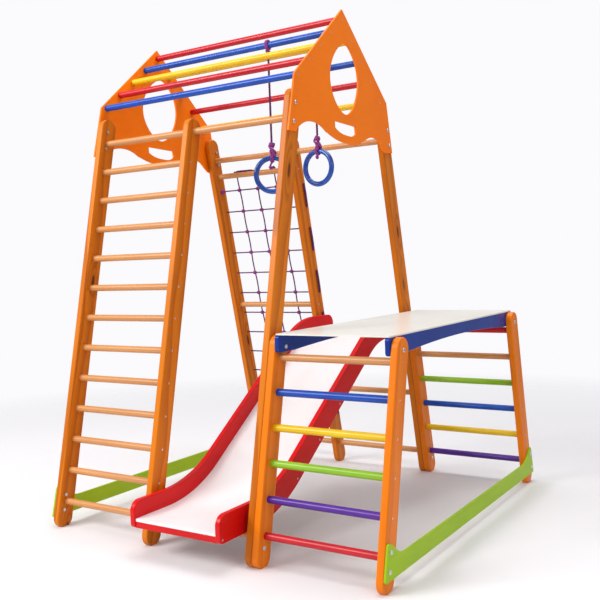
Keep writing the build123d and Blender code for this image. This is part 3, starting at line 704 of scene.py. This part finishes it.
def side_lacing(columns):
    """Lacing down the posts, and the columns' ties: over the upper rung and round the low one."""
    bm = bmesh.new()
    strands = [span(points) for points in solids_of("net_lacing")]
    left_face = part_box("tower_post_rear_left")[0][0]
    right_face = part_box("tower_post_rear_middle")[1][0]
    rung_loop = max(strands, key=lambda corners: corners[1].z)
    for low, high in strands:
        if high.z != rung_loop[1].z:
            add_post_strand(bm, low, high, (left_face + right_face) / 2, left_face, right_face)
    add_rung_loop(bm, *rung_loop)
    upper_rung = box_centre("net_upper_rung")
    for column in columns:
        top, _ = column_line(*column)
        over = upper_rung + Vector((top.x - upper_rung.x, 0, rung_radius + net_rope_radius))
        tie = [top - Vector((0, 0, 0.008)), top + Vector((0, -0.001, -0.001)),
               over + Vector((0, 0.010, -0.002)), over + Vector((0, 0.003, 0.0003)), over]
        add_laid_rope(bm, tie, net_rope_radius)
    last_top, _ = column_line(*columns[-1])
    last_knot = turns_round(last_top, (1, 0, 0.2), (0, 1, 0), 0.0056, 2, 0.007, 8)
    add_laid_rope(bm, last_knot, net_rope_radius)
    low_rungs = [span(points) for points in solids_of("low_rungs")]
    net_foot = min(low_rungs, key=lambda corners: corners[0].x)
    for column in columns:
        _, end = column_line(*column)
        centre = Vector((end.x, (net_foot[0].y + net_foot[1].y) / 2, (net_foot[0].z + net_foot[1].z) / 2))
        round_rung = rung_radius + net_rope_radius + 0.0002
        add_laid_rope(bm, turns_round(centre, (1, 0, 0), (0, 1, 0), round_rung, 2, 0.0065), net_rope_radius)
    clean(bm)
    piece_from(bm, "net_side_lacing", "purple_rope", "gym_frame", ["net_lacing"])


net_rows = [span(points) for points in solids_of("net_rows")]
net_columns = [span(points) for points in solids_of("net_columns")]
row_middles = [(low + high) / 2 for low, high in net_rows]
cross_ropes(net_rows)
hanging_ropes(net_columns, row_middles)
crossing_knots(net_rows, net_columns, row_middles)
side_lacing(net_columns)


# ---- screws: countersunk heads with a round recess, on the CAD screws' places ----
def add_screw(bm, points):
    """A screw head round the origin, facing +Z; returns the place of the CAD screw whose points these are."""
    low, high = span(points)
    middle = (low + high) / 2
    wide = [p for p in points if (p - middle).yz.length > screw_head_radius * 0.93]
    head_x = sum(p.x for p in wide) / len(wide)
    outward = 1 if head_x > middle.x else -1
    face = high.x if outward > 0 else low.x
    verts = bmesh.ops.create_circle(bm, cap_ends=True, segments=18, radius=screw_head_radius)["verts"]
    faces = list({f for v in verts for f in v.link_faces})
    for thickness, depth in ((0.0004, 0.0003), (0.0016, 0.0001), (0.0003, -0.0012)):
        bmesh.ops.inset_region(bm, faces=faces, thickness=thickness, depth=depth)
    rim = [e for e in bm.edges if e.is_boundary and e.verts[0] in verts]
    skirt = bmesh.ops.extrude_edge_only(bm, edges=rim)
    down = [v for v in skirt["geom"] if isinstance(v, bmesh.types.BMVert)]
    bmesh.ops.translate(bm, verts=down, vec=(0, 0, -0.0026))
    bmesh.ops.scale(bm, verts=down, vec=(0.5, 0.5, 1))
    bmesh.ops.holes_fill(bm, edges=[e for e in bm.edges if e.is_boundary], sides=0)
    return Matrix.Translation((face, middle.y, middle.z)) @ Matrix.Rotation(pi / 2 * outward, 4, "Y")


def screw_set(node):
    """All the screw heads of one CAD node as one piece."""
    whole = bmesh.new()
    for points in solids_of(node):
        one = bmesh.new()
        place = add_screw(one, points)
        bmesh.ops.transform(one, matrix=place, verts=one.verts)
        mesh = bpy.data.meshes.new("screw")
        one.to_mesh(mesh)
        one.free()
        whole.from_mesh(mesh)
        bpy.data.meshes.remove(mesh)
    bmesh.ops.recalc_face_normals(whole, faces=whole.faces)
    piece_from(whole, node.replace("screws", "screw_heads"), "zinc", "gym_frame", [node], smooth=False)


for node in ("rung_screws", "roof_bar_screws", "chute_screws"):
    screw_set(node)

# ---- floor, light and camera ----
floor_radius = 40.0
floor_solid_to = 1.5
floor_gone_at = 3.4
gym_middle = (0, 0, 0.7)
low_middle = (0, 0, 0.5)
camera_place = Vector((1.58958, -2.41712, 0.86958))
camera_azimuth = radians(32.89)
camera_elevation = radians(2.8)
camera_roll = radians(-2.12)
camera_lens = 49.69
camera_sensor = 36.0


def add_floor():
    """A pale floor whose alpha fades into the backdrop away from the gym."""
    mesh = bpy.data.meshes.new("floor")
    bm = bmesh.new()
    bmesh.ops.create_circle(bm, cap_ends=True, segments=64, radius=floor_radius)
    bm.to_mesh(mesh)
    bm.free()
    floor = bpy.data.objects.new("floor", mesh)
    bpy.context.scene.collection.objects.link(floor)
    finish = Finish("pale_floor", Roughness=0.55)
    cloud = finish.noise(finish.moved(), 1.2, 2.0)
    reach = finish.node("ShaderNodeVectorMath", {"operation": "LENGTH"}, **{"0": finish.place})
    fade = finish.out(reach, "Value").clamp(floor_gone_at, floor_solid_to)
    finish.feed(Base_Color=finish.blend(cloud, (0.8, 0.79, 0.8), (0.84, 0.83, 0.84)), Alpha=fade)
    mesh.materials.append(finish.material)


def add_studio():
    """Soft light from all round, with a near-white backdrop that only the camera sees."""
    world = bpy.data.worlds.new("studio")
    world.use_nodes = True
    nodes = world.node_tree.nodes
    link = world.node_tree.links.new
    ambient = nodes["Background"]
    ambient.inputs["Color"].default_value = (0.95, 0.95, 1.0, 1.0)
    ambient.inputs["Strength"].default_value = 0.42
    backdrop = nodes.new("ShaderNodeBackground")
    backdrop.inputs["Color"].default_value = (0.985, 0.975, 1.0, 1.0)
    backdrop.inputs["Strength"].default_value = 0.98
    either = nodes.new("ShaderNodeMixShader")
    link(nodes.new("ShaderNodeLightPath").outputs["Is Camera Ray"], either.inputs[0])
    link(ambient.outputs[0], either.inputs[1])
    link(backdrop.outputs[0], either.inputs[2])
    link(either.outputs[0], nodes["World Output"].inputs["Surface"])
    bpy.context.scene.world = world


def softbox(name, place, target, width, height, power):
    """A white rectangular lamp at place, facing target."""
    lamp = bpy.data.lights.new(name, "AREA")
    lamp.shape = "RECTANGLE"
    lamp.size = width
    lamp.size_y = height
    lamp.energy = power
    holder = bpy.data.objects.new(name, lamp)
    toward = Vector(target) - Vector(place)
    holder.matrix_world = Matrix.Translation(place) @ toward.to_track_quat("-Z", "Y").to_matrix().to_4x4()
    bpy.context.scene.collection.objects.link(holder)


def add_camera():
    """The camera, aimed by azimuth, elevation and a small roll."""
    level = cos(camera_elevation)
    ahead = Vector((-sin(camera_azimuth) * level, cos(camera_azimuth) * level, -sin(camera_elevation)))
    right = Vector((cos(camera_azimuth), sin(camera_azimuth), 0))
    up = right.cross(ahead)
    rolled_right = right * cos(camera_roll) + up * sin(camera_roll)
    rolled_up = up * cos(camera_roll) - right * sin(camera_roll)
    lens = bpy.data.cameras.new("camera")
    lens.lens = camera_lens
    lens.sensor_width = camera_sensor
    lens.clip_end = 200.0
    camera = bpy.data.objects.new("camera", lens)
    turned = Matrix((rolled_right, rolled_up, -ahead)).transposed().to_4x4()
    camera.matrix_world = Matrix.Translation(camera_place) @ turned
    bpy.context.scene.collection.objects.link(camera)
    bpy.context.scene.camera = camera


add_floor()
add_studio()
softbox("key", (-2.2, -3.4, 3.0), gym_middle, 2.2, 1.6, 172)
softbox("fill", (3.4, -1.6, 2.0), gym_middle, 2.0, 2.0, 24)
softbox("top", (0.3, 0.5, 4.2), low_middle, 3.0, 3.0, 125)
add_camera()
bpy.context.scene.view_settings.view_transform = "Standard"
